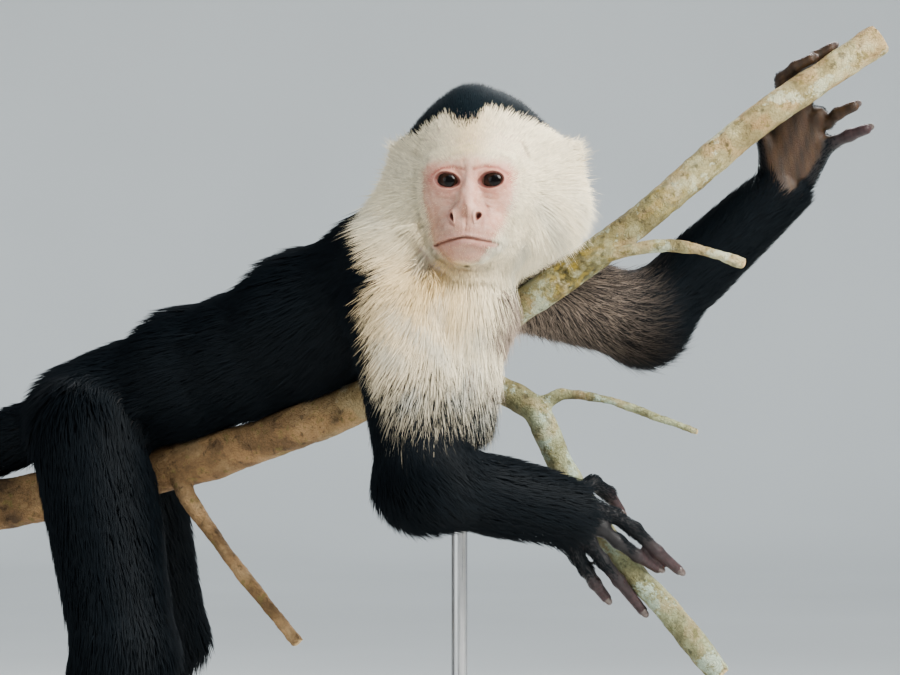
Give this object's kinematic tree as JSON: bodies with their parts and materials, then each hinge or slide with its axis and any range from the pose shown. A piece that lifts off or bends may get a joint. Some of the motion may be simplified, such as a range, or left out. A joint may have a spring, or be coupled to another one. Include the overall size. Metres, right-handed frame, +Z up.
{
  "type": "capuchin monkey model",
  "caption": "Life-size still model of a white-faced capuchin lying along a slanting branch, face to the viewer, arms and legs astride it, on a flat base with rods.",
  "frame": {"origin": "centre of the underside of the stand's base, where it rests on the floor", "axes": "+Z up; +X along the branch towards its higher end; -Y out of the face, towards the viewer"},
  "size_m": [0.6212, 0.2654, 0.6223],
  "materials": {
    "black_coat": "short glossy black fur",
    "cream_coat": "long soft cream fur",
    "dark_skin": "creased dark skin, thin black hair",
    "ear_skin": "thin pale skin",
    "eye": "wet gloss",
    "bark": "dry mottled bark with a little moss",
    "stand_wood": "satin dark wood",
    "stand_steel": "brushed"
  },
  "bodies": {
    "root": {"chest": "black_coat", "ear_left": "ear_skin", "ear_right": "ear_skin", "eye_left": "eye", "eye_right": "eye", "foot_left": "dark_skin", "foot_right": "dark_skin", "forearm_left": "black_coat", "forearm_right": "black_coat", "hand_left": "dark_skin", "hand_right": "dark_skin", "head": "cream_coat", "hips": "black_coat", "loin": "black_coat", "neck": "cream_coat", "perch_branch": "bark", "shank_left": "black_coat", "shank_right": "black_coat", "stand_base": "stand_wood", "stand_rod_front": "stand_steel", "stand_rod_rear": "stand_steel", "tail_base": "black_coat", "tail_coil": "black_coat", "tail_tip": "black_coat", "thigh_left": "black_coat", "thigh_right": "black_coat", "upper_arm_left": "black_coat", "upper_arm_right": "black_coat"}
  },
  "joints": []
}
